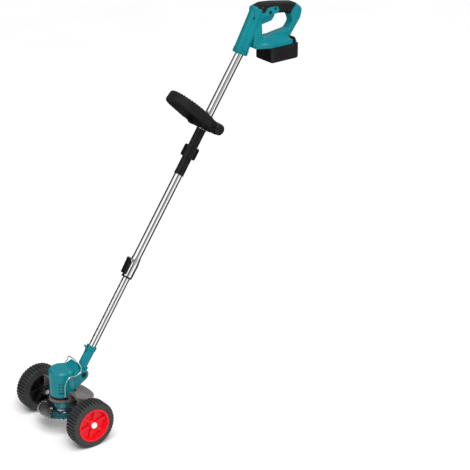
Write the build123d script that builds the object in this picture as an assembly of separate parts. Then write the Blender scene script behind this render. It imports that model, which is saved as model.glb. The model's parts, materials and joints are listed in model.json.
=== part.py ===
"""Cordless wheeled lawn edger: battery handle, telescopic pole, tilting motor head, two wheels.

Millimetres. +X is the way it is pushed, +Y the user's left, +Z up. The origin is on the
ground, midway between the two wheel contacts. The pole is drawn out and leans back at LEAN.
Pole parts are drawn in the pole frame: local z runs up the pole from the tilt pivot,
local x is the front of the pole and local y is world Y.
"""
from build123d import *
from math import cos, pi, radians, sin
import os

os.makedirs("parts", exist_ok=True)

# ------------------------------------------------------------------ driving dimensions
LEAN = 34.6              # pole angle from vertical, degrees
PIVOT_X = -54.0          # tilt pivot of the head, on the pole axis
PIVOT_Z = 160.0
SPLIT_GAP = 0.3          # clearance between pieces that move past each other
FIT = 0.06               # radial running fit of shafts and slides

# wheels and axles
WHEEL_D = 140.0
TYRE_W = 42.0
TRACK = 313.0            # over the outer tyre faces
LUGS = 44
LUG_H = 4.8
SHOULDER = 4.0           # chamfer of the tread's edges, across and down
RIM_D = 96.0             # tyre bore, outside of the hub
DISC_DEPTH = 14.0        # outer face of the tyre to the disc's floor
DISC_PROUD = 1.5         # how far the hub disc's flange stands off the tyre
AXLE_D = 8.0
HUB_PLAY = 0.6           # end play of a wheel on its axle

# motor head
MOTOR_X = 6.5            # blade axis, in front of the axle
HOUSING_R = 37.5
HOUSING_Z0 = 112.0
HOUSING_Z1 = 191.0
HOUSING_WALL = 2.6
VENTS = 4                # cooling slots on each side
VENT_Z = 124.0
VENT_PITCH = 10.0
VENT_H = 4.0
VENT_W = 13.0
VENT_TURN = 35.0         # degrees forward of the side
PEAK_X = -41.0           # top of the rear hump that carries the ears
PEAK_Z = 204.5
RIDGE_Y = 10.0           # half the width of the hump's ridge
SHOULDER_Z = 172.0       # where the hump starts to narrow towards its ridge
EAR_R = 15.5
EAR_Y = 26.0             # half the width over the ears
TONGUE_Y = 12.0          # half the width of the neck's tongue
TILT_PIN_D = 8.0
TILT_BUTTON_D = 15.0
BUTTON_TRAVEL = 2.0
GASKET_H = 8.0
SCREW_R = 2.6            # screw heads
SCREW_RING = 36.0        # screws that hold the guard and the strap
FLANGE_H = 7.0           # debris guard's mounting ring
FLANGE_R = 39.0
STRAP_T = 3.0            # axle strap
STRAP_W = 24.0
CONE_R = 32.5
CONE_TIP_R = 24.0
CONE_H = 23.0
BLADE_D = 150.0
BLADE_T = 1.6
BLADE_Z = 62.0           # blade's middle plane
TEETH = 40
SPINDLE_D = 10.0
GUARD_R = 90.0
GUARD_T = 2.4
GUARD_SLOPE = 23.0       # deck falls towards the rear, degrees
GUARD_Z = 131.0          # deck height over the blade axis
GUARD_SKIRT_Z = 69.0
WIRE_D = 3.0
WIRE_Y = 40.8            # legs of the plant guard, from the middle plane
WIRE_X = 22.0            # its pivot
WIRE_Z = 119.0

# pole, positions measured along it from the tilt pivot
TUBE_D = 25.0
TUBE_WALL = 1.4
INNER_D = 21.8
INNER_WALL = 1.2
NECK_TOP = 84.0
NECK_D = 27.6
NECK_SCREWS = (28.0, 58.0)
NECK_SCREW_DEPTH = -11.4  # inner end of the screw heads, outside the inner tube
COLLAR_D = 30.5
COLLAR_L = 12.0
INNER_FOOT = 34.0
INNER_TOP = 440.0
HOLE_PITCH = 20.0
HOLE_D = 6.0
LATCH_FOOT = 306.0
LATCH_TOP = 372.0
LATCH_D = 31.0
LATCH_RING_H = 5.0
LEVER_W = 17.0
JOIN = 715.0             # where the two outer tubes meet, in the coupling nut
SLEEVE_D = 29.0
SLEEVE_LOW = 72.0        # length of the sleeve under the joint
SLEEVE_HIGH = 75.0       # and over it
NUT_D = 46.0
NUT_L = 36.0
NUT_RIBS = 18
BARREL_FOOT = 1034.0     # lower end of the handle's barrel
SOCKET = 76.0            # depth of the pole's socket in the handle

# auxiliary handle
AUX_AT = 809.0           # its bolt, along the pole
AUX_TILT = 10.0         # loop's plane above the square to the pole, degrees
AUX_HALF_Y = 62.0
AUX_REACH = 151.0        # from the pole axis to the front of the loop
BAND_T = 16.0
BAND_H = 30.0
AUX_SKIN = 2.0
CLAMP_H = 36.0
CLAMP_Y = 24.0
AUX_BOLT_D = 6.0
KNOB_D = 34.0

# handle, measured back and up from the barrel's lower end on the pole axis
BARREL_R = 22.0
HANDLE_Y = 17.0          # half thickness of the D
HANDLE_WALL = 2.6
SKIN = 2.2               # soft grip
FOOT_Y = 38.0
FOOT_FRONT = 90.0        # where the foot has its full width, behind the datum
FOOT_Z = 8.5             # underside of the battery foot
TRIGGER_Y = 9.0
TRIGGER_HINGE = (72.0, 98.0)   # back and up
TRUNNION_R = 1.6
BATTERY_Y = 40.0
BATTERY_L = 103.0
BATTERY_H = 46.0
BATTERY_FRONT = 89.0     # its front face, behind the datum
BATTERY_GAP = 1.2
LOCK_AT = (120.0, 118.6)  # lock-off button, back and up
LOCK_R = 3.4
LOCK_TRAVEL = 4.0
LENS_AT = (73.4, 128.8)  # red charge light
LENS_R = 2.8
SHELL_SCREWS = [(16.0, BARREL_FOOT + 14, 13.0), (24.0, BARREL_FOOT + 108, 14.0)]   # front, up the pole, depth
RIM_R = 6.0               # rounding of the D's edges
NOSE_L = 142.0            # barrel length
NOSE_LEAN = 7.0           # degrees forward of the pole

# ------------------------------------------------------------------ derived frame
S, C = sin(radians(LEAN)), cos(radians(LEAN))
PIVOT = Vector(PIVOT_X, 0, PIVOT_Z)
POLE = Plane(origin=PIVOT, x_dir=(C, 0, S), z_dir=(-S, 0, C))
DATUM = PIVOT + Vector(-S, 0, C) * BARREL_FOOT
AXLE_Z = WHEEL_D / 2
OUTER_Y = TRACK / 2
INNER_Y = OUTER_Y - TYRE_W
PARTS = {}


def add(name, shape):
    """Register a finished node."""
    PARTS[name] = shape


def world(shape):
    """Pole frame to world."""
    return POLE.location * shape


def rod(radius, z0, z1):
    return Pos(0, 0, z0) * Cylinder(radius, z1 - z0, align=(Align.CENTER, Align.CENTER, Align.MIN))


def pipe(outer, inner, z0, z1):
    return rod(outer, z0, z1) - rod(inner, z0 - 1, z1 + 1)


def block(x0, x1, y0, y1, z0, z1):
    size = (x1 - x0, y1 - y0, z1 - z0)
    return Pos((x0 + x1) / 2, (y0 + y1) / 2, (z0 + z1) / 2) * Box(*size)


def rod_y(radius, y0, y1, x=0.0, z=0.0):
    """Cylinder along Y."""
    return Pos(x, y0, z) * Rot(-90, 0, 0) * Cylinder(
        radius, y1 - y0, align=(Align.CENTER, Align.CENTER, Align.MIN))


def frustum(r0, r1, z0, z1):
    return Pos(0, 0, z0) * Cone(r0, r1, z1 - z0, align=(Align.CENTER, Align.CENTER, Align.MIN))


def outline(points, radii):
    """Closed rounded outline in the XZ plane, as a face."""
    return make_face(FilletPolyline(*[(x, 0, z) for x, z in points], radius=radii, close=True))


def slab(face, y0, y1):
    """Extrude an XZ face from y0 to y1."""
    return Pos(0, y0, 0) * extrude(face, amount=y1 - y0, dir=(0, 1, 0))


def halves(shape):
    """Split at the middle plane: user's left and right."""
    return split(shape, Plane.XZ, keep=Keep.BOTTOM), split(shape, Plane.XZ, keep=Keep.TOP)


def mirrored(shape):
    return mirror(shape, Plane.XZ)


# ------------------------------------------------------------------ wheels
def tyre():
    """Lugged tyre about Y, inner face at y=0."""
    root = WHEEL_D / 2 - LUG_H
    tip = WHEEL_D / 2
    step = 2 * pi / LUGS
    points = []
    for k in range(LUGS):
        for radius, share in ((root, -0.27), (tip, -0.2), (tip, 0.2), (root, 0.27)):
            a = (k + share) * step
            points.append((radius * cos(a), 0, radius * sin(a)))
    tread = extrude(make_face(Polyline(*points, close=True)), amount=TYRE_W, dir=(0, 1, 0))
    side = tip - SHOULDER
    crown = [(0, 0), (side, 0), (tip, SHOULDER), (tip, TYRE_W - SHOULDER), (side, TYRE_W), (0, TYRE_W)]
    envelope = revolve(make_face(Polyline(*[(r, y, 0) for r, y in crown], close=True)), Axis.Y)
    return (tread & envelope) - rod_y(RIM_D / 2, -1, TYRE_W + 1)


def hub():
    """Moulded wheel centre: rim, web and axle bush, open towards the inside."""
    rim_r = RIM_D / 2
    bush_r = 13.0
    top = TYRE_W - DISC_DEPTH
    web_y = top - 8
    rim = rod_y(rim_r, 1, top - 1) - rod_y(rim_r - 4, 0, TYRE_W)
    web = rod_y(rim_r - 3, web_y, web_y + 4)
    bush = rod_y(bush_r, -1, top)
    ribs = [Rot(0, a, 0) * block(bush_r - 2, rim_r - 3, web_y - 12, web_y + 1, -2, 2) for a in range(0, 360, 60)]
    body = rim + web + bush
    for rib in ribs:
        body += rib
    return body - rod_y(AXLE_D / 2 + FIT, -5, TYRE_W + 5)


def hub_disc():
    """Outer wheel disc: flange on the tyre, dished floor with six spokes, centre boss."""
    rim_r = RIM_D / 2
    top = TYRE_W + DISC_PROUD
    floor_y = TYRE_W - DISC_DEPTH
    section = [
        (0, floor_y), (rim_r - 4, floor_y), (rim_r - 0.4, TYRE_W), (rim_r + 1.5, TYRE_W),
        (rim_r + 1.5, top), (rim_r - 3.5, top), (rim_r - 8, floor_y + 2.2), (17, floor_y + 2.2),
        (11.5, top - 3), (0, top - 3)]
    disc = revolve(make_face(Polyline(*[(r, y, 0) for r, y in section], close=True)), Axis.Y)
    for a in range(0, 360, 60):
        spoke = block(10, rim_r - 6, floor_y + 1, top - 8, -4.0, 4.0)
        disc += Rot(0, a + 15, 0) * spoke
    recess = rod_y(9.2, top - 4.2, top + 1)
    return disc - recess - rod_y(AXLE_D / 2 + 1.0, 0, top)


def hub_cap():
    """Push-on cap over the axle end."""
    top = TYRE_W + DISC_PROUD
    dome = rod_y(9.0, top - 4.2, top + 1.5)
    dome = fillet(dome.faces().sort_by(Axis.Y)[-1].edges(), 2.5)
    return dome - rod_y(AXLE_D / 2 + 1.0, top - 5, top - 2)


def wheels():
    for side, sign in (("left", 1), ("right", -1)):
        for name, make in (("tyre", tyre), ("wheel_hub", hub), ("hub_disc", hub_disc), ("hub_cap", hub_cap)):
            piece = Pos(0, INNER_Y, AXLE_Z) * make()
            add(f"{name}_{side}", piece if sign > 0 else mirrored(piece))


def axle_strap():
    """Steel strap under the guard ring, folded down at both ends to the stub axles."""
    z1 = HOUSING_Z0 - GASKET_H - FLANGE_H
    z0 = z1 - STRAP_T
    leg_y = INNER_Y - 1 - 12
    half = STRAP_W / 2
    bar = block(-half, half, -leg_y, leg_y, z0, z1)
    ring = Pos(MOTOR_X, 0, 0) * rod(FLANGE_R, z0, z1)
    leg = block(-half, half, leg_y - STRAP_T, leg_y, AXLE_Z, z1) + rod_y(half, leg_y - STRAP_T, leg_y, 0, AXLE_Z)
    leg -= rod_y(AXLE_D / 2, leg_y - 10, leg_y + 10, 0, AXLE_Z)
    strap = bar + ring + leg + mirrored(leg)
    add("axle_strap", strap - Pos(MOTOR_X, 0, 0) * rod(CONE_R - 6, z0 - 1, z1 + 1))
    tip = OUTER_Y + DISC_PROUD - 3.2
    stub = rod_y(AXLE_D / 2, leg_y - STRAP_T - 5, tip, 0, AXLE_Z)
    nut = extrude(Plane.XZ * RegularPolygon(7.5, 6), amount=5)
    stub += Pos(0, leg_y - STRAP_T, AXLE_Z) * nut
    spacer = rod_y(AXLE_D / 2 + 3, leg_y, INNER_Y - 1 - HUB_PLAY, 0, AXLE_Z)
    stub += spacer
    add("axles", Compound(children=[stub, mirrored(stub)]))


# ------------------------------------------------------------------ motor head
def housing_solid(inset=0.0):
    """Motor housing with the rear hump and the ears, grown inwards by inset."""
    r = HOUSING_R - inset
    z0 = HOUSING_Z0 + inset
    z1 = HOUSING_Z1 - inset
    can = frustum(r - 1.5, r, z0, z1 - 24) + rod(r, z1 - 24, z1 - 6) + frustum(r, r - 5, z1 - 6, z1)
    can = Pos(MOTOR_X, 0, 0) * can
    hump = outline(
        [(MOTOR_X, HOUSING_Z0 + 13 + inset), (MOTOR_X, HOUSING_Z1 - 1 - inset), (-12, HOUSING_Z1 - 1 - inset),
         (PEAK_X + inset, PEAK_Z - inset), (PEAK_X + 3 + inset, PIVOT_Z + 16),
         (PIVOT_X + 6, PIVOT_Z + EAR_R - inset), (PIVOT_X - EAR_R + 1 + inset, PIVOT_Z + 4),
         (PIVOT_X - EAR_R + 3 + inset, PIVOT_Z - 12), (-26 + inset, HOUSING_Z0 + 13 + inset)],
        [0.5, 0.5, 8, 4, 6, 5, 8, 8, 4])
    wedge = slab(hump, -EAR_Y + inset, EAR_Y - inset)
    half, ridge = EAR_Y - inset, RIDGE_Y - inset
    gable = [(-half, 0), (half, 0), (half, SHOULDER_Z), (ridge, PEAK_Z + 2), (-ridge, PEAK_Z + 2), (-half, SHOULDER_Z)]
    gable_face = make_face(Polyline(*[(-150, y, z) for y, z in gable], close=True))
    wedge &= extrude(gable_face, amount=300, dir=(1, 0, 0))
    return can + wedge


def motor_housing():
    """Two clamshell halves round the motor, with ears for the tilt pin."""
    body = housing_solid() - housing_solid(HOUSING_WALL)
    ears = rod_y(EAR_R, -EAR_Y, EAR_Y, PIVOT_X, PIVOT_Z)
    web = block(PIVOT_X, PIVOT_X + 22, -EAR_Y + 0.5, EAR_Y - 0.5, PIVOT_Z - 14, PIVOT_Z + 14)
    body += ears + web
    slot_r = EAR_R + 3.5
    slot_y = TONGUE_Y + SPLIT_GAP + 0.3
    sweep = rod_y(slot_r, -slot_y, slot_y, PIVOT_X, PIVOT_Z)
    above = Pos(PIVOT_X, 0, PIVOT_Z) * block(-40, 12, -slot_y, slot_y, 0, 30)
    behind = Pos(PIVOT_X, 0, PIVOT_Z) * block(-40, 0, -slot_y, slot_y, -slot_r, 5)
    body -= sweep + above + behind
    body -= rod_y(TILT_PIN_D / 2, -EAR_Y + 3, EAR_Y + 1, PIVOT_X, PIVOT_Z)
    body -= rod_y(TILT_BUTTON_D / 2 + SPLIT_GAP, EAR_Y - BUTTON_TRAVEL - 3, EAR_Y + 1, PIVOT_X, PIVOT_Z)
    axis = Pos(MOTOR_X, 0, 0)
    body -= axis * rod(SPINDLE_D / 2 + 3, HOUSING_Z0 - 1, HOUSING_Z0 + 10)
    for side in (1, -1):
        for k in range(VENTS):
            z = VENT_Z + VENT_PITCH * k
            slot = axis * Rot(0, 0, -VENT_TURN) * block(-VENT_W / 2, VENT_W / 2, HOUSING_R - 8, HOUSING_R + 5, z, z + VENT_H)
            body -= slot if side > 0 else mirrored(slot)
        y0, y1 = sorted((side * 28, side * 45))
        body -= rod_y(WIRE_D / 2 + FIT, y0, y1, WIRE_X, WIRE_Z)
    heads = []
    for x, z, y in ((MOTOR_X + 22, HOUSING_Z1 - 12, 29.5), (PEAK_X + 12, HOUSING_Z1 - 4, EAR_Y), (-34, 150, EAR_Y)):
        body -= rod_y(SCREW_R + 0.3, -60, -y + 1.5, x, z) + rod_y(SCREW_R, -y, -y + 7, x, z)
        heads.append(rod_y(SCREW_R, -y + 1.5, -y + 7, x, z))
    add("housing_screws", Compound(children=heads))
    left, right = halves(body)
    add("motor_housing_left", left)
    add("motor_housing_right", right)


def drive():
    axis = Pos(MOTOR_X, 0, 0)
    can_z0 = HOUSING_Z0 + HOUSING_WALL + 6
    can_z1 = HOUSING_Z1 - 14
    add("motor_can", axis * (rod(27, can_z0, can_z1) - rod(SPINDLE_D / 2 + 1, can_z0 - 1, can_z0 + 25)))
    gasket_z0 = HOUSING_Z0 - GASKET_H
    bore = SPINDLE_D / 2 + 3
    add("gasket_ring", axis * pipe(FLANGE_R - 4.5, bore + 6, gasket_z0, HOUSING_Z0))
    strap_z0 = gasket_z0 - FLANGE_H - STRAP_T
    cone = frustum(CONE_TIP_R, CONE_R, strap_z0 - CONE_H, strap_z0)
    cone += rod(bore + 6, strap_z0, HOUSING_Z0)
    bearing = (SPINDLE_D / 2 + 2.5, SPINDLE_D / 2)
    cone -= rod(bearing[0], strap_z0 - CONE_H - 1, HOUSING_Z0 + 1)
    add("gear_cone", axis * cone)
    low = strap_z0 - CONE_H + 2
    rings = pipe(bearing[0], bearing[1] + FIT, low, low + 7)
    upper = pipe(bearing[0], bearing[1] + FIT, HOUSING_Z0 - 8, HOUSING_Z0 - 1)
    add("bearings", Compound(children=[axis * rings, axis * upper]))
    blade_top = BLADE_Z + BLADE_T / 2
    blade_low = BLADE_Z - BLADE_T / 2
    spindle = rod(SPINDLE_D / 2, blade_low - 9, can_z0 + 20)
    spindle += rod(20, blade_top, blade_top + 3) + rod(9, blade_top + 3, low - 2 - SPLIT_GAP)
    add("spindle", axis * spindle)
    nut = extrude(Pos(0, 0, blade_low - 7.5) * RegularPolygon(9.5, 6), amount=5)
    nut += rod(17, blade_low - 2.5, blade_low)
    add("blade_nut", axis * (nut - rod(SPINDLE_D / 2, 0, 100)))


def blade():
    """Forty-tooth saw disc with heat slots."""
    r = BLADE_D / 2
    step = 2 * pi / TEETH
    points = []
    for k in range(TEETH):
        for radius, share in ((r - 5.5, 0.0), (r, 0.42), (r - 0.6, 0.62), (r - 5.0, 0.78)):
            a = (k + share) * step
            points.append((radius * cos(a), radius * sin(a)))
    disc = extrude(make_face(Polyline(*points, close=True)), amount=BLADE_T / 2, both=True)
    disc -= Cylinder(SPINDLE_D / 2, 10)
    for k in range(4):
        disc -= Rot(0, 0, 90 * k + 20) * Pos(r - 11, 0, 0) * Box(14, 1.6, 10)
        disc -= Rot(0, 0, 90 * k + 65) * Pos(34, 0, 0) * Cylinder(4, 10)
    add("blade", Pos(MOTOR_X, 0, BLADE_Z) * disc)


def guard_half(radius, z_top, drop):
    """Rear half cylinder under the sloping deck plane."""
    body = Pos(MOTOR_X, 0, 0) * rod(radius, GUARD_SKIRT_Z - drop, z_top + 40)
    body &= block(-200, MOTOR_X + 5, -200, 200, 0, 300)
    cutter = Pos(MOTOR_X, 0, z_top) * Rot(0, -GUARD_SLOPE, 0) * block(-300, 300, -200, 200, 0, 200)
    return body - cutter


def debris_guard():
    """Translucent guard over the rear of the blade, on its own mounting ring."""
    shell = guard_half(GUARD_R, GUARD_Z, 0) - guard_half(GUARD_R - GUARD_T, GUARD_Z - GUARD_T, 20)
    axis = Pos(MOTOR_X, 0, 0)
    well = HOUSING_R + 3.5
    deck_hole = axis * rod(well, 60, 300)
    wall = guard_half(well + GUARD_T, GUARD_Z, 0) - deck_hole
    ring_z0 = HOUSING_Z0 - GASKET_H - FLANGE_H
    wall &= block(-200, 200, -200, 200, ring_z0, 300)
    ring = axis * pipe(FLANGE_R, SPINDLE_D / 2 + 9, ring_z0, ring_z0 + FLANGE_H)
    tie = axis * pipe(well + GUARD_T, FLANGE_R - 1, ring_z0, ring_z0 + GUARD_T)
    tie &= block(-200, MOTOR_X + 5, -200, 200, 0, 300)
    body = (shell - deck_hole) + wall + ring + tie
    for side in (1, -1):
        y0, y1 = sorted((side * 70, side * 100))
        body -= block(-STRAP_W / 2 - 0.5, STRAP_W / 2 + 0.5, y0, y1, 0, ring_z0 + 0.5)
    lip_r = GUARD_R + 1.6
    lip = guard_half(lip_r, GUARD_Z + 0.6, 0) - guard_half(lip_r - 2.6, GUARD_Z + 60, 0)
    lip -= guard_half(lip_r + 1, GUARD_Z - 4, 20)
    add("debris_guard", body + lip)
    heads = []
    for angle in (120, 180, 240):
        x = MOTOR_X + SCREW_RING * cos(radians(angle))
        y = SCREW_RING * sin(radians(angle))
        heads.append(Pos(x, y, 0) * rod(SCREW_R, ring_z0 - STRAP_T - 2.4, ring_z0 - STRAP_T))
    add("strap_screws", Compound(children=heads))


def wire_guard():
    """Bent wire over the head; its hooked ends turn in the housing."""
    legs = [(WIRE_X, 31.0, WIRE_Z), (WIRE_X, WIRE_Y, WIRE_Z), (10, WIRE_Y, 172), (-27, WIRE_Y, 178),
            (-38, 38, 188), (-37, 28, 203), (-33, 12, 212)]
    path = legs + [(x, -y, z) for x, y, z in reversed(legs)]
    line = FilletPolyline(*path, radius=[4, 6, 8, 10, 10, 12, 12, 10, 10, 8, 6, 4])
    section = Plane(origin=line @ 0, z_dir=line % 0) * Circle(WIRE_D / 2)
    add("wire_guard", sweep(section, path=line))


# ------------------------------------------------------------------ neck and pole
def neck():
    """Clamshell neck: collar round the inner tube, tongue on the tilt pin."""
    start = EAR_R + 3.0
    barrel = rod(NECK_D / 2, start, NECK_TOP) + rod(COLLAR_D / 2, NECK_TOP - COLLAR_L, NECK_TOP)
    barrel += frustum(NECK_D / 2, COLLAR_D / 2, NECK_TOP - COLLAR_L - 4, NECK_TOP - COLLAR_L)
    tongue = rod_y(EAR_R - 1.5, -TONGUE_Y, TONGUE_Y)
    tongue += block(-EAR_R + 1.7, EAR_R - 1.7, -TONGUE_Y, TONGUE_Y, 0, start + 4)
    body = barrel + tongue
    body -= rod(INNER_D / 2, INNER_FOOT, NECK_TOP + 1)
    body -= rod_y(TILT_PIN_D / 2 + FIT, -20, 20)
    pin_z = NECK_TOP - 17
    pin_x = NECK_D / 2 - 0.4
    lever_y = 3.0
    slot_y = lever_y + SPLIT_GAP
    body -= block(INNER_D / 2 - 1, 40, -slot_y, slot_y, NECK_TOP - 26, NECK_TOP - 5)
    body -= rod_y(1.2 + FIT, -6.5, 6.5, pin_x, pin_z)
    for t in NECK_SCREWS:
        body -= rod_y(SCREW_R, -NECK_D, NECK_SCREW_DEPTH, 0, t)
    left, right = halves(body)
    add("neck_left", world(left))
    add("neck_right", world(right))
    arm = outline(
        [(pin_x - 1.2, pin_z - 1.4), (pin_x + 2.2, pin_z - 2.4), (pin_x + 4, pin_z + 3), (pin_x + 14, pin_z + 10),
         (pin_x + 12, pin_z + 13.5), (pin_x + 0.5, pin_z + 5), (pin_x - 1.2, pin_z + 1.5)],
        [0.5, 1, 1.5, 1.5, 1, 1.5, 0.5])
    hook = slab(arm, -lever_y, lever_y) + rod_y(1.2, -6.3, 6.3, pin_x, pin_z)
    add("neck_lever", world(hook))
    screws = []
    for t in NECK_SCREWS:
        head = rod_y(SCREW_R, -NECK_D / 2 - 0.6, NECK_SCREW_DEPTH, 0, t)
        screws.append(head - rod_y(1.2, -30, -NECK_D / 2 + 0.4, 0, t))
    add("neck_screws", world(Compound(children=screws)))
    add("tilt_pin", Pos(PIVOT_X, 0, PIVOT_Z) * rod_y(TILT_PIN_D / 2, -EAR_Y + 3, EAR_Y - BUTTON_TRAVEL - 3.4))
    button = rod_y(TILT_BUTTON_D / 2, EAR_Y - 2.6, EAR_Y + 3)
    button = fillet(button.faces().sort_by(Axis.Y)[-1].edges(), 1.2)
    add("tilt_button", Pos(PIVOT_X, 0, PIVOT_Z) * button)


def tubes():
    inner = pipe(INNER_D / 2, INNER_D / 2 - INNER_WALL, INNER_FOOT, INNER_TOP)
    count = int((LATCH_FOOT - NECK_TOP - 14) / HOLE_PITCH) + 1
    for k in range(count):
        z = NECK_TOP + 12 + k * HOLE_PITCH
        inner -= Pos(INNER_D / 2, 0, z) * Rot(0, 90, 0) * Cylinder(HOLE_D / 2, 8)
    add("inner_tube", world(inner))
    bore = INNER_D / 2 + FIT
    foot = LATCH_FOOT + LATCH_RING_H
    add("lower_tube", world(pipe(TUBE_D / 2, bore, foot, JOIN)))
    top = BARREL_FOOT + SOCKET
    add("upper_tube", world(pipe(TUBE_D / 2, TUBE_D / 2 - TUBE_WALL, JOIN, top)))
    add("lower_sleeve", world(pipe(SLEEVE_D / 2, TUBE_D / 2, JOIN - SLEEVE_LOW, JOIN)))
    add("upper_sleeve", world(pipe(SLEEVE_D / 2, TUBE_D / 2, JOIN, JOIN + SLEEVE_HIGH)))
    nut = pipe(NUT_D / 2 - 1.2, SLEEVE_D / 2 + FIT, JOIN - NUT_L / 2, JOIN + NUT_L / 2)
    for k in range(NUT_RIBS):
        rib = Pos(NUT_D / 2 - 1.8, 0, JOIN) * Box(3.6, 3.4, NUT_L - 6)
        nut += Rot(0, 0, 360 / NUT_RIBS * k) * rib
    add("coupling_nut", world(nut))
    add("power_lead", world(rod(5.5, JOIN + 40, top + 6)))


def latch():
    """Height latch: flared sleeve on the outer tube, end ring, lever and its pin."""
    foot = LATCH_FOOT + LATCH_RING_H
    top = LATCH_TOP
    sleeve = rod(LATCH_D / 2, foot, top - 20) + frustum(LATCH_D / 2, TUBE_D / 2 + 0.8, top - 20, top)
    sleeve -= rod(TUBE_D / 2, foot - 1, top + 1)
    hinge_t = top - 12
    hinge_n = LATCH_D / 2 + 4.5
    half = LEVER_W / 2
    for side in (1, -1):
        y0, y1 = sorted((side * (half + SPLIT_GAP), side * (half + 3)))
        cheek = block(9, hinge_n, y0, y1, hinge_t - 5, hinge_t + 5) + rod_y(4.5, y0, y1, hinge_n, hinge_t)
        sleeve += cheek - rod(TUBE_D / 2 + 0.8, foot, top)
    sleeve -= rod_y(1.5, -20, 20, hinge_n, hinge_t)
    sleeve -= Pos(LATCH_D / 2, 0, foot + 12) * Rot(0, 90, 0) * Cylinder(3.2, 16)
    add("latch_sleeve", world(sleeve))
    add("latch_ring", world(pipe(LATCH_D / 2 - 0.6, INNER_D / 2 + FIT, LATCH_FOOT, foot)))
    add("latch_pin", world(rod_y(1.5, -half - 3, half + 3, hinge_n, hinge_t)))
    face = LATCH_D / 2 + 0.6
    lever = outline(
        [(face, foot + 3), (face + 7.5, foot + 4), (hinge_n + 6, hinge_t - 3), (hinge_n + 2.0, hinge_t + 4.6),
         (face + 1.9, hinge_t + 3.2), (face, hinge_t - 4)], [1.5, 2.5, 2, 1.5, 1, 1])
    paddle = slab(lever, -half, half)
    paddle -= rod_y(1.5 + FIT, -20, 20, hinge_n, hinge_t)
    tooth = Pos(LATCH_D / 2 + 0.3, 0, foot + 12) * Rot(0, 90, 0) * Cylinder(2.4, 5)
    tip = rod_y(2.2, -2.5, 2.5, LATCH_D / 2 + 3, foot - 2.6) + block(
        LATCH_D / 2 + 2, LATCH_D / 2 + 4, -2.0, 2.0, foot - 2.6, foot + 5.0)
    add("latch_lever", world(paddle + tooth + tip))


# ------------------------------------------------------------------ auxiliary handle
def band(offset, height):
    """U-shaped band round the pole in the plane across it, wall BAND_T less offset."""
    centre = AUX_HALF_Y - BAND_T / 2
    half = BAND_T / 2 - offset
    bend_x = AUX_REACH - AUX_HALF_Y
    outer_r, inner_r = centre + half, centre - half
    outer = Pos(bend_x, 0, 0) * Cylinder(outer_r, height) + block(0, bend_x, -outer_r, outer_r, -height / 2, height / 2)
    inner = Pos(bend_x, 0, 0) * Cylinder(inner_r, height + 2)
    inner += block(-1, bend_x, -inner_r, inner_r, -height, height)
    return outer - inner


def aux_handle():
    place = POLE.location * Pos(0, 0, AUX_AT) * Rot(0, -AUX_TILT, 0)
    inner_y = AUX_HALF_Y - BAND_T
    full = band(0, BAND_H)
    full = fillet(full.edges().filter_by(GeomType.CIRCLE) + full.edges().filter_by(Axis.X), 5.0)
    core = band(AUX_SKIN, BAND_H - 2 * AUX_SKIN)
    grip_x = 30.0
    zone = block(grip_x, 300, -200, 200, -100, 100)
    add("aux_grip", place * ((full & zone) - core))
    eye_r = BAND_H / 2 + 3
    loop = (full - zone) + (core & zone)
    for side in (1, -1):
        y0, y1 = sorted((side * inner_y, side * AUX_HALF_Y))
        eye = fillet(rod_y(eye_r, y0, y1).edges(), 3.0)
        y0, y1 = sorted((side * (CLAMP_Y + SPLIT_GAP), side * (inner_y + 1)))
        loop += eye + rod_y(12, y0, y1)
    loop -= rod_y(AUX_BOLT_D / 2 + FIT, -100, 100)
    add("aux_loop", place * loop)
    clamp = block(-CLAMP_Y + 6, 18, -CLAMP_Y, CLAMP_Y, -CLAMP_H / 2, CLAMP_H / 2)
    clamp = fillet(clamp.edges().filter_by(Axis.Z), 5)
    clamp = Pos(0, 0, AUX_AT) * clamp
    bolt_room = TUBE_D / 2 + 2
    clamp -= rod(TUBE_D / 2 + FIT, 0, 2000)
    clamp -= block(-60, -10, -1, 1, AUX_AT - 50, AUX_AT + 50)
    stub = Pos(0, 0, AUX_AT) * (rod_y(AUX_BOLT_D / 2, bolt_room, AUX_HALF_Y + 4) + rod_y(AUX_BOLT_D / 2, -AUX_HALF_Y - 1, -bolt_room))
    clamp -= stub
    add("aux_clamp", world(clamp))
    head = rod_y(6, -AUX_HALF_Y - 5, -AUX_HALF_Y - SPLIT_GAP)
    add("aux_bolt", world(stub + Pos(0, 0, AUX_AT) * head))
    washer = rod_y(KNOB_D / 2 - 0.5, AUX_HALF_Y + SPLIT_GAP, AUX_HALF_Y + 1.8) - rod_y(AUX_BOLT_D / 2 + 0.4, 0, 100)
    add("aux_washer", world(Pos(0, 0, AUX_AT) * washer))
    y0 = AUX_HALF_Y + 1.8 + SPLIT_GAP
    knob = rod_y(KNOB_D / 2, y0, y0 + 13)
    knob = fillet(knob.faces().sort_by(Axis.Y)[-1].edges(), 6)
    for k in range(10):
        a = 2 * pi * k / 10
        knob -= rod_y(2.6, y0 + 1.5, y0 + 20, (KNOB_D / 2 + 0.8) * cos(a), (KNOB_D / 2 + 0.8) * sin(a))
    knob -= rod_y(AUX_BOLT_D / 2 + FIT, y0 - 1, AUX_HALF_Y + 4 + 1)
    add("aux_knob", world(Pos(0, 0, AUX_AT) * knob))


# ------------------------------------------------------------------ handle
def at(points):
    """Handle datum offsets (back, up) to world x, z."""
    return [(DATUM.X - b, DATUM.Z + h) for b, h in points]


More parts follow.
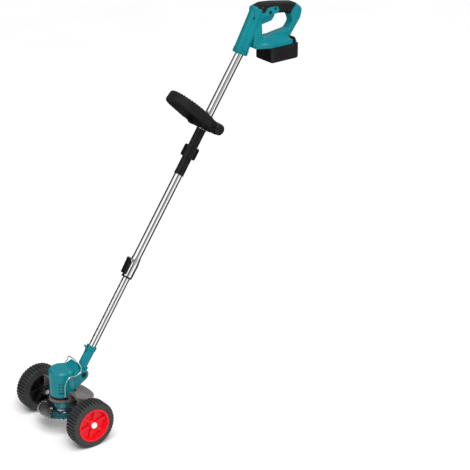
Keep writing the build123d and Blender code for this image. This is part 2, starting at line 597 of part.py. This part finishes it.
D_OUTER = [(46, 132), (80, 140), (122, 136), (160, 130), (196, 124), (224, 103),
           (216, 74), (180, 28), (168, 12), (40, 12)]
D_OUTER_R = [8, 60, 80, 60, 24, 18, 20, 8, 4, 10]
OPENING = [(73, 76), (75, 42), (92, 37), (172, 48), (187, 66), (180, 86), (166, 98), (130, 102), (72, 92)]
OPENING_R = [4, 10, 6, 10, 12, 10, 12, 10, 6]
POCKET = [(66.5, 70), (66.5, 103), (84, 113), (127, 113), (127, 86)]
TRIGGER = [(68, 100), (68, 78), (76, 76), (112, 82), (120, 90), (123, 98), (122, 104), (86, 104)]
TRIGGER_R = [2, 3, 4, 3, 4, 3, 2, 2]
GRIP_ZONE = [(30, 170), (56, 132), (62, 114), (82, 112), (90, 124), (104, 126), (128, 124), (134, 112),
             (126, 100), (126, 80), (168, 80), (186, 108), (206, 126), (215, 170)]


def handle_outer():
    """Solid D ring, barrel nose and battery foot, before they are hollowed."""
    ring = slab(outline(at(D_OUTER), D_OUTER_R), -HANDLE_Y, HANDLE_Y)
    ring -= slab(outline(at(OPENING), OPENING_R), -60, 60)
    rims = ring.edges().filter_by(lambda e: abs(abs(e.center().Y) - HANDLE_Y) < 0.01)
    ring = fillet(rims, RIM_R)
    foot_x0, foot_x1 = DATUM.X - 175, DATUM.X - 48
    mid = (foot_x0 + foot_x1) / 2
    z0 = DATUM.Z + FOOT_Z
    plan = [(foot_x0, FOOT_Y), (DATUM.X - FOOT_FRONT, FOOT_Y), (foot_x1, HANDLE_Y), (foot_x1, -HANDLE_Y),
            (DATUM.X - FOOT_FRONT, -FOOT_Y), (foot_x0, -FOOT_Y)]
    plan_line = FilletPolyline(*[(x, y, z0 + 10) for x, y in plan], radius=[12, 16, 4, 4, 16, 12], close=True)
    low = make_face(plan_line)
    high = Pos(mid, 0, z0 + 30) * RectangleRounded(foot_x1 - foot_x0 - 24, 2 * HANDLE_Y - 4, 6)
    foot = extrude(low, amount=-10, dir=(0, 0, 1)) + loft([low, high])
    foot -= slab(outline(at(OPENING), OPENING_R), -60, 60)
    return ring + foot + world(nose(0))


def nose(inset):
    """Barrel that takes the pole; it leans forward of the pole towards its top."""
    r0, r1 = BARREL_R - inset, BARREL_R - 3 - inset
    cone = Cone(r0, r1, NOSE_L - 2 * inset, align=(Align.CENTER, Align.CENTER, Align.MIN))
    cone = fillet(cone.edges(), 3)
    return Pos(0, 0, BARREL_FOOT) * Rot(0, NOSE_LEAN, 0) * Pos(0, 0, inset) * cone


def handle():
    body = handle_outer()
    wall = HANDLE_WALL + SKIN
    core = slab(offset(outline(at(D_OUTER), D_OUTER_R), -SKIN), -HANDLE_Y + SKIN, HANDLE_Y - SKIN)
    core -= slab(offset(outline(at(OPENING), OPENING_R), SKIN), -60, 60)
    zone = slab(make_face(Polyline(*[(x, 0, z) for x, z in at(GRIP_ZONE)], close=True)), -60, 60)
    pocket = slab(outline(at(POCKET), 1.0), -TRIGGER_Y - 0.6, TRIGGER_Y + 0.6)
    grip = (body & zone) - core - world(nose(0)) - pocket
    inside = slab(offset(outline(at(D_OUTER), D_OUTER_R), -wall), -HANDLE_Y + wall, HANDLE_Y - wall)
    inside -= slab(offset(outline(at(OPENING), OPENING_R), wall), -60, 60)
    inside -= world(nose(0))
    shell = body - grip - inside - pocket
    bore_top = BARREL_FOOT + SOCKET
    shell -= world(rod(TUBE_D / 2, BARREL_FOOT - 5, bore_top))
    shell -= world(rod(TUBE_D / 2 - 3, bore_top - 1, bore_top + 14))
    shell -= battery_rail(0.5)
    shell -= terminals(0.4)
    button_x, button_z = at([LOCK_AT])[0]
    lens_x, lens_z = at([LENS_AT])[0]
    hinge_x, hinge_z = at([TRIGGER_HINGE])[0]
    shell -= rod_y(TRUNNION_R + FIT, -TRIGGER_Y - 3.3, TRIGGER_Y + 3.3, hinge_x, hinge_z)
    lock_bore = rod_y(LOCK_R + SPLIT_GAP, -60, 60, button_x, button_z)
    lens_bore = rod_y(LENS_R, HANDLE_Y - 2.5, HANDLE_Y + 5, lens_x, lens_z)
    shell -= lock_bore + lens_bore
    grip -= lock_bore + lens_bore
    for n, t, depth in SHELL_SCREWS:
        shell -= world(rod_y(SCREW_R + 0.4, depth, 60, n, t)) + world(rod_y(SCREW_R, depth - 6, depth + 1, n, t))
    add("handle_screws", Compound(children=[shell_screw(*spot) for spot in SHELL_SCREWS]))
    add("soft_grip", grip)
    left, right = halves(shell)
    add("handle_left", left)
    add("handle_right", right)


def shell_screw(n, t, depth):
    """Screw head down its recess, with a hexagon socket."""
    socket = Plane.XZ * RegularPolygon(1.5, 6)
    head = rod_y(SCREW_R, depth - 6, depth, n, t)
    return world(head - Pos(n, depth + 1, t) * extrude(socket, amount=2.6))


def terminals(clear):
    """Contact block in the foot, ahead of the battery rail, grown by clear."""
    x0, x1 = DATUM.X - 90.5, DATUM.X - 78
    z0 = DATUM.Z + FOOT_Z + 1
    return block(x0 - clear, x1 + clear, -16 - clear, 16 + clear, z0 - 6 * clear, z0 + 9 + clear)


def battery_rail(clear):
    """T rail on top of the battery, grown by clear, open towards the rear."""
    x0, x1 = DATUM.X - 178, DATUM.X - 92
    z0 = DATUM.Z + FOOT_Z - BATTERY_GAP
    neck_part = block(x0 - clear, x1 + clear, -20 - clear, 20 + clear, z0 - 1, z0 + 8)
    head = block(x0 - clear, x1 + clear, -25 - clear, 25 + clear, z0 + 5 - clear, z0 + 10 + clear)
    return neck_part + head


def battery():
    z1 = DATUM.Z + FOOT_Z - BATTERY_GAP
    z0 = z1 - BATTERY_H
    x1 = DATUM.X - BATTERY_FRONT
    x0 = x1 - BATTERY_L
    mid = (x0 + x1) / 2
    case = Pos(mid, 0, z0) * extrude(RectangleRounded(BATTERY_L, 2 * BATTERY_Y, 9), amount=BATTERY_H)
    case = chamfer(case.faces().sort_by(Axis.Z)[0].edges(), 4)
    case -= block(x0 + 3, x1 - 3, -BATTERY_Y + 3, BATTERY_Y - 3, z0 + 3, z1 - 3)
    for k in range(5):
        case -= block(x1 - 1.2, x1 + 1, 8 + 6 * k, 11 + 6 * k, z0 + 6, z1 - 2)
    add("battery_case", case)
    hump = outline([(x0 - 4, z1), (x0 - 1, z1 + 6), (x0 + 4, z1 + 15), (x0 + 9.5, z1 + 15), (x0 + 9.5, z1)],
                   [1, 3, 3, 1, 1])
    latch_box = slab(hump, -23, 23) - block(x0 - 10, x0 + 5, -9.5, 9.5, z1 + 3.5, z1 + 20)
    add("battery_rail", battery_rail(0) - block(-2000, 0, -30, 30, z1 - 5, z1) + latch_box)
    key = outline([(x0 - 1.5, z1 + 3.5 + 2.4), (x0 + 3.2, z1 + 13.5), (x0 + 4.6, z1 + 13.5), (x0 + 4.6, z1 + 5.9)],
                  0.8)
    add("battery_button", slab(key, -9.2, 9.2))
    cells = []
    for k in range(5):
        cells.append(rod_y(9, -33, 33, x0 + 12 + 18.8 * k, z0 + 3 + 9.5))
    add("battery_cells", Compound(children=cells))


def controls():
    trigger = slab(outline(at(TRIGGER), TRIGGER_R), -TRIGGER_Y, TRIGGER_Y)
    trigger = fillet(trigger.faces().sort_by(Axis.Y)[-1].edges() + trigger.faces().sort_by(Axis.Y)[0].edges(), 1.2)
    hinge_x, hinge_z = at([TRIGGER_HINGE])[0]
    trigger += rod_y(TRUNNION_R, -TRIGGER_Y - 3, TRIGGER_Y + 3, hinge_x, hinge_z)
    add("trigger", trigger)
    button_x, button_z = at([LOCK_AT])[0]
    half = HANDLE_Y + LOCK_TRAVEL / 2
    lock = rod_y(LOCK_R, -half, half, button_x, button_z)
    add("lock_button", fillet(lock.edges().filter_by(GeomType.CIRCLE), 0.8))
    lens_x, lens_z = at([LENS_AT])[0]
    lens = rod_y(LENS_R, HANDLE_Y - 2.5, HANDLE_Y + 0.8, lens_x, lens_z)
    add("charge_light", fillet(lens.faces().sort_by(Axis.Y)[-1].edges(), 0.7))
    (x0, z0), (x1, z1) = at([(112, 114.6), (84, 129)])
    spring_x, spring_z = at([(90, 104.2)])[0]
    add("switch_block", block(x0, x1, -9, 9, z0, z1))
    add("trigger_spring", Pos(spring_x, 0, 0) * pipe(3.0, 2.2, spring_z, z0))
    add("terminal_block", terminals(0))


def main():
    wheels()
    axle_strap()
    motor_housing()
    drive()
    blade()
    debris_guard()
    wire_guard()
    neck()
    tubes()
    latch()
    aux_handle()
    handle()
    battery()
    controls()
    for name, shape in PARTS.items():
        export_step(shape, f"parts/{name}.step")


main()
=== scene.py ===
import json
import math

import bmesh
import bpy
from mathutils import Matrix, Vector


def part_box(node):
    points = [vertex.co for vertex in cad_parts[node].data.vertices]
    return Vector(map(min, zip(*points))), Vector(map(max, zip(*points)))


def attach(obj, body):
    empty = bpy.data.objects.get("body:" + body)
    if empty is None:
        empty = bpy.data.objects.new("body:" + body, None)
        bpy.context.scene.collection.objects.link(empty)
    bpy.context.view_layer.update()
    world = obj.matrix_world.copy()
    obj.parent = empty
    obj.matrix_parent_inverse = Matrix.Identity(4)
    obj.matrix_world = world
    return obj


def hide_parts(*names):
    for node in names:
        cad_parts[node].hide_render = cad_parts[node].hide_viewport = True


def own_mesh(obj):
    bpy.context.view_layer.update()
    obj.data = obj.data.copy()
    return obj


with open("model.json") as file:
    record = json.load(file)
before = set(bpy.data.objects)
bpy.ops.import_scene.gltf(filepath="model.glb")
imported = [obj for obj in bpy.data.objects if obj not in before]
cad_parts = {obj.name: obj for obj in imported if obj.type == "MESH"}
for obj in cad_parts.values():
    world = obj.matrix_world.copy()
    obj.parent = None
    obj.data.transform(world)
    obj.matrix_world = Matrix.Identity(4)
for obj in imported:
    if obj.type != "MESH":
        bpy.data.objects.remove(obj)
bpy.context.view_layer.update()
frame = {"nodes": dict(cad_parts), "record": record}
NODES = frame["nodes"]


# ---------------------------------------------------------------- shader helpers
def material(name):
    mat = bpy.data.materials.new(name)
    mat.use_nodes = True
    tree = mat.node_tree
    shader = next(n for n in tree.nodes if n.type == "BSDF_PRINCIPLED")
    place = tree.nodes.new("ShaderNodeTexCoord")
    return mat, tree, shader, place.outputs["Object"]


def noise(tree, where, scale, detail=4.0, rough=0.55, stretch=None):
    if stretch:
        mapping = tree.nodes.new("ShaderNodeMapping")
        mapping.inputs["Scale"].default_value = stretch
        tree.links.new(where, mapping.inputs["Vector"])
        where = mapping.outputs["Vector"]
    node = tree.nodes.new("ShaderNodeTexNoise")
    node.inputs["Scale"].default_value = scale
    node.inputs["Detail"].default_value = detail
    node.inputs["Roughness"].default_value = rough
    tree.links.new(where, node.inputs["Vector"])
    return node.outputs["Fac"]


def ramp(tree, value, stops):
    node = tree.nodes.new("ShaderNodeValToRGB")
    elements = node.color_ramp.elements
    for k, (at, colour) in enumerate(stops):
        e = elements[k] if k < 2 else elements.new(at)
        e.position = at
        e.color = (*colour, 1)
    tree.links.new(value, node.inputs["Fac"])
    return node.outputs["Color"]


def span(tree, value, low, high):
    node = tree.nodes.new("ShaderNodeMapRange")
    node.inputs["From Min"].default_value = 0.3
    node.inputs["From Max"].default_value = 0.7
    node.inputs["To Min"].default_value = low
    node.inputs["To Max"].default_value = high
    tree.links.new(value, node.inputs["Value"])
    return node.outputs["Result"]


def bump(tree, shader, height, distance, strength=1.0):
    node = tree.nodes.new("ShaderNodeBump")
    node.inputs["Strength"].default_value = strength
    node.inputs["Distance"].default_value = distance
    tree.links.new(height, node.inputs["Height"])
    tree.links.new(node.outputs["Normal"], shader.inputs["Normal"])
    return node


def plastic(name, dark, light, rough, grain=1400.0, depth=0.00003, spread=26.0, coat=0.0,
            shine=0.35):
    """Moulded plastic or rubber: slow colour drift, fine moulded grain, uneven gloss.

    grain and spread are noise scales, depth is the grain's height in metres, and shine
    is the specular level.
    """
    mat, tree, shader, where = material(name)
    drift = noise(tree, where, spread, 5)
    tree.links.new(ramp(tree, drift, [(0.3, dark), (0.7, light)]), shader.inputs["Base Color"])
    gloss = span(tree, noise(tree, where, 60, 3), rough - 0.05, rough + 0.06)
    tree.links.new(gloss, shader.inputs["Roughness"])
    bump(tree, shader, noise(tree, where, grain, 2, 0.5), depth, 0.6)
    shader.inputs["Specular IOR Level"].default_value = shine
    shader.inputs["Coat Weight"].default_value = coat
    shader.inputs["Coat Roughness"].default_value = 0.12
    return mat


def metal(name, dark, light, rough, brush=None, depth=0.00001):
    """Ground, plated or chromed metal, brushed along or round the part."""
    mat, tree, shader, where = material(name)
    shader.inputs["Metallic"].default_value = 1.0
    scratch = noise(tree, where, 220, 4, 0.6, brush)
    drift = noise(tree, where, 18, 4)
    tree.links.new(ramp(tree, drift, [(0.3, dark), (0.7, light)]), shader.inputs["Base Color"])
    tree.links.new(span(tree, scratch, rough * 0.75, rough * 1.4), shader.inputs["Roughness"])
    bump(tree, shader, scratch, depth, 0.5)
    return mat


def smoked():
    """Smoked clear plastic for the guard."""
    mat, tree, shader, where = material("look_smoked_plastic")
    drift = noise(tree, where, 20, 3)
    tint = ramp(tree, drift, [(0.3, (0.190, 0.155, 0.157)), (0.7, (0.240, 0.200, 0.202))])
    tree.links.new(tint, shader.inputs["Base Color"])
    tree.links.new(span(tree, noise(tree, where, 90, 3), 0.10, 0.22), shader.inputs["Roughness"])
    shader.inputs["Transmission Weight"].default_value = 0.35
    shader.inputs["IOR"].default_value = 1.49
    shader.inputs["Alpha"].default_value = 0.82
    bump(tree, shader, noise(tree, where, 300, 2), 0.00004, 0.4)
    return mat


LOOKS = {
    "teal_plastic": plastic("look_teal", (0.0, 0.165, 0.195), (0.0, 0.205, 0.240),
                            0.22, 1300, 0.00002, 20, 0.0, 0.22),
    "black_rubber": plastic("look_rubber", (0.004, 0.004, 0.005), (0.010, 0.010, 0.011),
                            0.50, 900, 0.0001, 40, 0.0, 0.18),
    "black_plastic": plastic("look_black", (0.004, 0.004, 0.005), (0.009, 0.009, 0.010),
                             0.30, 1200, 0.00005, 40, 0.0, 0.2),
    "battery_plastic": plastic("look_battery", (0.006, 0.005, 0.006), (0.011, 0.010, 0.011),
                               0.32, 1100, 0.00006, 40, 0.0, 0.2),
    "lead_rubber": plastic("look_lead", (0.010, 0.010, 0.010), (0.02, 0.02, 0.02), 0.5),
    "red_lens": plastic("look_lens", (0.20, 0.006, 0.006), (0.28, 0.01, 0.01), 0.15, 400, 0.00001, 60, 0.5),
    "cell_wrap": plastic("look_cells", (0.03, 0.16, 0.35), (0.05, 0.22, 0.42), 0.3),
    "red_plastic": plastic("look_red", (0.66, 0.002, 0.008), (0.78, 0.004, 0.012),
                           0.30, 1200, 0.00003, 24, 0.0, 0.25),
    "white_cap": plastic("look_cap", (0.78, 0.76, 0.70), (0.87, 0.86, 0.81), 0.32),
    "tyre_rubber": plastic("look_tyre", (0.018, 0.019, 0.019), (0.034, 0.035, 0.035),
                           0.55, 700, 0.00012, 30, 0.0, 0.35),
    "black_steel": plastic("look_painted", (0.012, 0.012, 0.012), (0.022, 0.022, 0.022),
                           0.34, 500, 0.00008),
    "dark_steel": metal("look_dark_steel", (0.07, 0.07, 0.075), (0.12, 0.12, 0.125), 0.32),
    "spring_steel": metal("look_spring", (0.42, 0.42, 0.43), (0.55, 0.55, 0.55), 0.28),
    "washer_steel": metal("look_zinc", (0.62, 0.62, 0.60), (0.76, 0.76, 0.74), 0.26),
    "motor_steel": metal("look_motor", (0.32, 0.32, 0.33), (0.44, 0.44, 0.44), 0.34),
    "blade_steel": metal("look_blade", (0.60, 0.60, 0.61), (0.76, 0.76, 0.77), 0.24, (1, 1, 0.02), 0.00002),
    "chrome_tube": metal("look_chrome", (0.80, 0.80, 0.81), (0.88, 0.88, 0.89),
                         0.07, (1, 1, 0.03), 0.000002),
    "inner_steel": metal("look_plated", (0.72, 0.72, 0.72), (0.82, 0.82, 0.82),
                         0.09, (1, 1, 0.03), 0.000003),
    "wire_steel": metal("look_wire", (0.55, 0.55, 0.54), (0.68, 0.68, 0.66), 0.22),
    "smoke_plastic": smoked(),
}

SLOT = {p["node"]: p["material_slot"] for p in frame["record"]["subparts"]}
for name, obj in NODES.items():
    obj.data.materials.clear()
    obj.data.materials.append(LOOKS[SLOT[name]])

# ---------------------------------------------------------------- fine pieces that the solids don't carry
LEAN = math.radians(34.6)
PIVOT = Vector((-0.054, 0.0, 0.160))
FRONT = Vector((math.cos(LEAN), 0, math.sin(LEAN)))
UP = Vector((-math.sin(LEAN), 0, math.cos(LEAN)))
SIDE = Vector((0, 1, 0))
BARREL_FOOT = 1.034      # lower end of the handle's barrel, up the pole from the tilt pivot
LOOP_AT = 0.809          # front handle, up the pole
LOOP_TILT = 10           # front handle past square to the pole, degrees
WIRE_R = 0.0015          # plant guard's wire


def rounded(half_a, half_b, radius, corner=5):
    """Rounded rectangle as (a, b) pairs, anticlockwise."""
    points = []
    for k, (sa, sb) in enumerate(((1, 1), (-1, 1), (-1, -1), (1, -1))):
        for j in range(corner + 1):
            turn = math.radians(90 * k + 90 * j / corner)
            points.append((sa * (half_a - radius) + radius * math.cos(turn),
                           sb * (half_b - radius) + radius * math.sin(turn)))
    return points


def keep(mesh, name, body, slot, stands_for=()):
    for face in mesh.faces:
        face.smooth = True
    bmesh.ops.recalc_face_normals(mesh, faces=mesh.faces)
    data = bpy.data.meshes.new(name)
    mesh.to_mesh(data)
    mesh.free()
    data.materials.append(LOOKS[slot])
    obj = bpy.data.objects.new(name, data)
    bpy.context.scene.collection.objects.link(obj)
    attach(obj, body)
    if stands_for:
        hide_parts(*stands_for)
    return obj


def skin(mesh, rings, hollow=False):
    """Joins rings of equal length into one tube, capped, or turned in on itself where it is hollow."""
    made = [[mesh.verts.new(p) for p in ring] for ring in rings]
    n = len(made[0])
    pairs = list(zip(made, made[1:])) + ([(made[-1], made[0])] if hollow else [])
    for a, b in pairs:
        for i in range(n):
            mesh.faces.new((a[i], a[(i + 1) % n], b[(i + 1) % n], b[i]))
    if not hollow:
        mesh.faces.new(list(reversed(made[0])))
        mesh.faces.new(made[-1])


def front_grip_ribs():
    """Raised ribs round the front loop's soft grip."""
    tilt = LEAN + math.radians(LOOP_TILT)
    out = Vector((math.cos(tilt), 0, math.sin(tilt)))
    high = Vector((-math.sin(tilt), 0, math.cos(tilt)))
    centre = PIVOT + UP * LOOP_AT
    radius, bend, start, pitch = 0.054, 0.089, 0.034, 0.0086
    leg = bend - start
    total = 2 * leg + math.pi * radius
    count = int(total / pitch)
    mesh = bmesh.new()
    for k in range(count + 1):
        s = k * total / count
        if s < leg:
            place, across, along = centre + out * (start + s) + SIDE * radius, SIDE, out
        elif s < leg + math.pi * radius:
            turn = (s - leg) / radius
            across = SIDE * math.cos(turn) + out * math.sin(turn)
            place = centre + out * bend + across * radius
            along = out * math.cos(turn) - SIDE * math.sin(turn)
        else:
            place, across, along = centre + out * (start + total - s) - SIDE * radius, -SIDE, -out
        rings = []
        for shift, grow in ((-0.0024, -0.0006), (-0.0016, 0.0012), (-0.0006, 0.0017), (0.0006, 0.0017),
                            (0.0016, 0.0012), (0.0024, -0.0006)):
            ring = [place + along * shift + across * a + high * b
                    for a, b in rounded(0.008 + grow, 0.015 + grow, 0.005 + grow)]
            rings.append(ring)
        skin(mesh, rings)
    keep(mesh, "front_grip_ribs", "aux_loop", "black_rubber")


def lathe(name, centre, axis, profile, body, slot, steps=40, hollow=True):
    """Ring of revolution round an axis; profile is (along, radius) pairs from back to front."""
    axis = axis.normalized()
    a = axis.orthogonal().normalized()
    b = axis.cross(a)
    mesh = bmesh.new()
    rings = []
    for along, radius in profile:
        ring = []
        for k in range(steps):
            turn = 2 * math.pi * k / steps
            ring.append(centre + axis * along + (a * math.cos(turn) + b * math.sin(turn)) * radius)
        rings.append(ring)
    skin(mesh, rings, hollow)
    return keep(mesh, name, body, slot)


def barrel_collar():
    """Stepped collar round the lower end of the handle's barrel."""
    foot = PIVOT + UP * BARREL_FOOT
    lean = math.radians(7)
    along = UP * math.cos(lean) + FRONT * math.sin(lean)
    for k, at in enumerate((0.0035, 0.011)):
        profile = [(at, 0.0215), (at + 0.0006, 0.0232), (at + 0.0030, 0.0236), (at + 0.0048, 0.0232),
                   (at + 0.0054, 0.0215)]
        lathe(f"barrel_collar_{k}", foot, along, profile, "handle", "teal_plastic", 64)


def tube_end_rims():
    """Rolled rims where the black sleeves end on the chromed tubes."""
    for name, at, radius in (("sleeve_rim_low", 0.643, 0.0145), ("sleeve_rim_high", 0.7885, 0.0145)):
        profile = [(0, radius - 0.001), (0.0002, radius + 0.0008), (0.0014, radius + 0.0012),
                   (0.0026, radius + 0.0008), (0.0028, radius - 0.001)]
        lathe(name, PIVOT + UP * (at - 0.0014), UP, profile, "handle", "black_plastic")


def painted_recess_shade():
    """Dark oval disc on each side of the handle, over the switch: painted shade, a black piece standing in for
    the shaded recess there.
    """
    lo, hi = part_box("switch_block")
    centre_x = (lo[0] + hi[0]) / 2 - 0.003
    for side in (1, -1):
        face = Vector((centre_x, side * 0.0169, lo[2] - 0.005))
        profile = [(-0.0015, 0.0056), (0.0001, 0.0056), (0.0005, 0.0050), (0.0005, 0.0042), (0.0003, 0.0036)]
        name = "recess_shade_left" if side > 0 else "recess_shade_right"
        # the black disc is painted shade for the recess, not a real part
        lathe(name, face, SIDE * side, profile, "handle", "black_plastic", 32, hollow=False)


def guard_wire():
    """Plant guard: one smooth bent wire over the head, its ends turning in the housing."""
    half = [(0.022, 0.031, 0.119), (0.022, 0.0408, 0.119), (0.010, 0.0408, 0.172), (-0.027, 0.0408, 0.178),
            (-0.038, 0.038, 0.188), (-0.037, 0.028, 0.203), (-0.033, 0.012, 0.2105)]
    points = half + [(x, -y, z) for x, y, z in reversed(half)]
    data = bpy.data.curves.new("plant_guard_wire", "CURVE")
    data.dimensions = "3D"
    data.resolution_u = 16
    data.bevel_depth = WIRE_R
    data.bevel_resolution = 4
    data.use_fill_caps = True
    spline = data.splines.new("BEZIER")
    spline.bezier_points.add(len(points) - 1)
    last = len(points) - 1
    for k, (knot, place) in enumerate(zip(spline.bezier_points, points)):
        knot.co = place
        kind = "VECTOR" if min(k, last - k) < 2 else "AUTO"
        knot.handle_left_type = kind
        knot.handle_right_type = kind
    data.materials.append(LOOKS["wire_steel"])
    obj = bpy.data.objects.new("plant_guard_wire", data)
    bpy.context.scene.collection.objects.link(obj)
    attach(obj, "plant_guard")
    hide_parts("wire_guard")


def trigger_coil():
    """Coiled return spring over the trigger, built at its rest length."""
    lo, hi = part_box("trigger_spring")
    wire = 0.0004
    radius = (hi[0] - lo[0]) / 2 - wire
    middle = Vector(((lo[0] + hi[0]) / 2, (lo[1] + hi[1]) / 2, 0))
    bottom, height = lo[2] + wire, hi[2] - lo[2] - 2 * wire
    coils, steps = 6, 24
    mesh = bmesh.new()
    rings = []
    for k in range(coils * steps + 1):
        turn = 2 * math.pi * k / steps
        out = Vector((math.cos(turn), math.sin(turn), 0))
        centre = middle + out * radius + Vector((0, 0, bottom + height * k / (coils * steps)))
        ring = []
        for j in range(8):
            a = 2 * math.pi * j / 8
            ring.append(centre + out * wire * math.cos(a) + Vector((0, 0, wire * math.sin(a))))
        rings.append(ring)
    skin(mesh, rings)
    coil = keep(mesh, "trigger_coil", "handle", "spring_steel", ("trigger_spring",))
    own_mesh(coil)


front_grip_ribs()
trigger_coil()
guard_wire()
barrel_collar()
tube_end_rims()
painted_recess_shade()


# ---------------------------------------------------------------- studio
def area(name, place, aim, size, power, tint=(1, 1, 1)):
    lamp = bpy.data.lights.new(name, "AREA")
    lamp.shape = "RECTANGLE"
    lamp.size, lamp.size_y = size
    lamp.energy = power
    lamp.color = tint
    obj = bpy.data.objects.new(name, lamp)
    bpy.context.scene.collection.objects.link(obj)
    obj.location = place
    obj.rotation_mode = "QUATERNION"
    obj.rotation_quaternion = (Vector(aim) - Vector(place)).to_track_quat("-Z", "Y")
    return obj


def card(name, corners, glow=0.0):
    """Black or glowing card that only reflections see, for the streaks in the chromed pole."""
    mesh = bpy.data.meshes.new(name)
    mesh.from_pydata(corners, [], [tuple(range(len(corners)))])
    obj = bpy.data.objects.new(name, mesh)
    bpy.context.scene.collection.objects.link(obj)
    mat, _, shader, _ = material("look_" + name)
    shader.inputs["Base Color"].default_value = (0.01, 0.01, 0.01, 1)
    shader.inputs["Roughness"].default_value = 1.0
    shader.inputs["Emission Color"].default_value = (1, 1, 1, 1)
    shader.inputs["Emission Strength"].default_value = glow
    mesh.materials.append(mat)
    obj.visible_camera = False
    obj.visible_diffuse = False
    obj.visible_shadow = False
    obj.visible_transmission = False


def studio():
    mesh = bpy.data.meshes.new("floor")
    half = 30.0
    corners = [(-half, -half, 0), (half, -half, 0), (half, half, 0), (-half, half, 0)]
    mesh.from_pydata(corners, [], [(0, 1, 2, 3)])
    floor = bpy.data.objects.new("floor", mesh)
    bpy.context.scene.collection.objects.link(floor)
    mat, tree, shader, where = material("look_floor")
    tree.links.new(ramp(tree, noise(tree, where, 3, 3), [(0.3, (0.88, 0.88, 0.88)), (0.7, (0.90, 0.90, 0.90))]),
                   shader.inputs["Base Color"])
    shader.inputs["Roughness"].default_value = 0.9
    mesh.materials.append(mat)
    world = bpy.data.worlds.new("studio")
    bpy.context.scene.world = world
    world.use_nodes = True
    tree = world.node_tree
    tree.nodes.clear()
    out = tree.nodes.new("ShaderNodeOutputWorld")
    back = tree.nodes.new("ShaderNodeBackground")
    back.inputs["Color"].default_value = (1, 1, 1, 1)
    back.inputs["Strength"].default_value = 0.48
    tree.links.new(back.outputs[0], out.inputs["Surface"])
    sun = bpy.data.lights.new("sky", "SUN")
    sun.energy = 2.2
    sun.angle = math.radians(40)
    sky = bpy.data.objects.new("sky", sun)
    bpy.context.scene.collection.objects.link(sky)
    sky.rotation_mode = "QUATERNION"
    sky.rotation_quaternion = Vector((-0.25, -0.45, -1.0)).to_track_quat("-Z", "Y")
    key = area("key", (1.4, 3.2, 3.0), (-0.2, 0, 0.4), (0.6, 0.6), 40)
    key.visible_glossy = False
    area("side", (-3.6, 2.0, 2.2), (-0.4, 0, 0.6), (0.5, 2.4), 30)
    card("card_floor", [(-0.3, -12.0, 0.005), (-0.3, 0.35, 0.005), (-4.5, 4.6, 0.005), (-8.0, 4.6, 0.005),
                        (-8.0, -12.0, 0.005)])
    card("card_floor_far", [(-0.3, -12.0, 0.004), (4.0, -12.0, 0.004), (4.0, -0.35, 0.004),
                            (-0.3, -0.35, 0.004)])
    card("card_back", [(-1.2, -3.0, 0.0), (3.1, -3.0, 0.0), (3.1, -3.0, 3.3), (-1.2, -3.0, 3.3)])
    card("card_front", [(3.1, 3.35, 0.8), (1.9, 4.28, 0.8), (1.9, 4.28, 5.5), (3.1, 3.35, 5.5)])
    card("card_glow", [(3.65, -1.6, 1.0), (3.65, 2.7, 1.0), (3.65, 2.7, 6.5), (3.65, -1.6, 6.5)],
         glow=1.25)


def camera():
    cam = bpy.data.cameras.new("camera")
    obj = bpy.data.objects.new("camera", cam)
    bpy.context.scene.collection.objects.link(obj)
    bpy.context.scene.camera = obj
    azimuth, elevation = math.radians(142.5), math.radians(23.52)
    back = Vector((math.sin(azimuth) * math.cos(elevation), -math.cos(azimuth) * math.cos(elevation),
                   math.sin(elevation)))
    target = Vector((-0.62527, 0.0, 0.44189))
    distance = 5.36779
    obj.location = target + back * distance
    obj.rotation_mode = "QUATERNION"
    obj.rotation_quaternion = (-back).to_track_quat("-Z", "Y")
    cam.sensor_width = 36.0
    cam.lens = 135.94
    cam.clip_start, cam.clip_end = 0.05, 100.0


studio()
camera()
bpy.context.scene.view_settings.view_transform = "Standard"
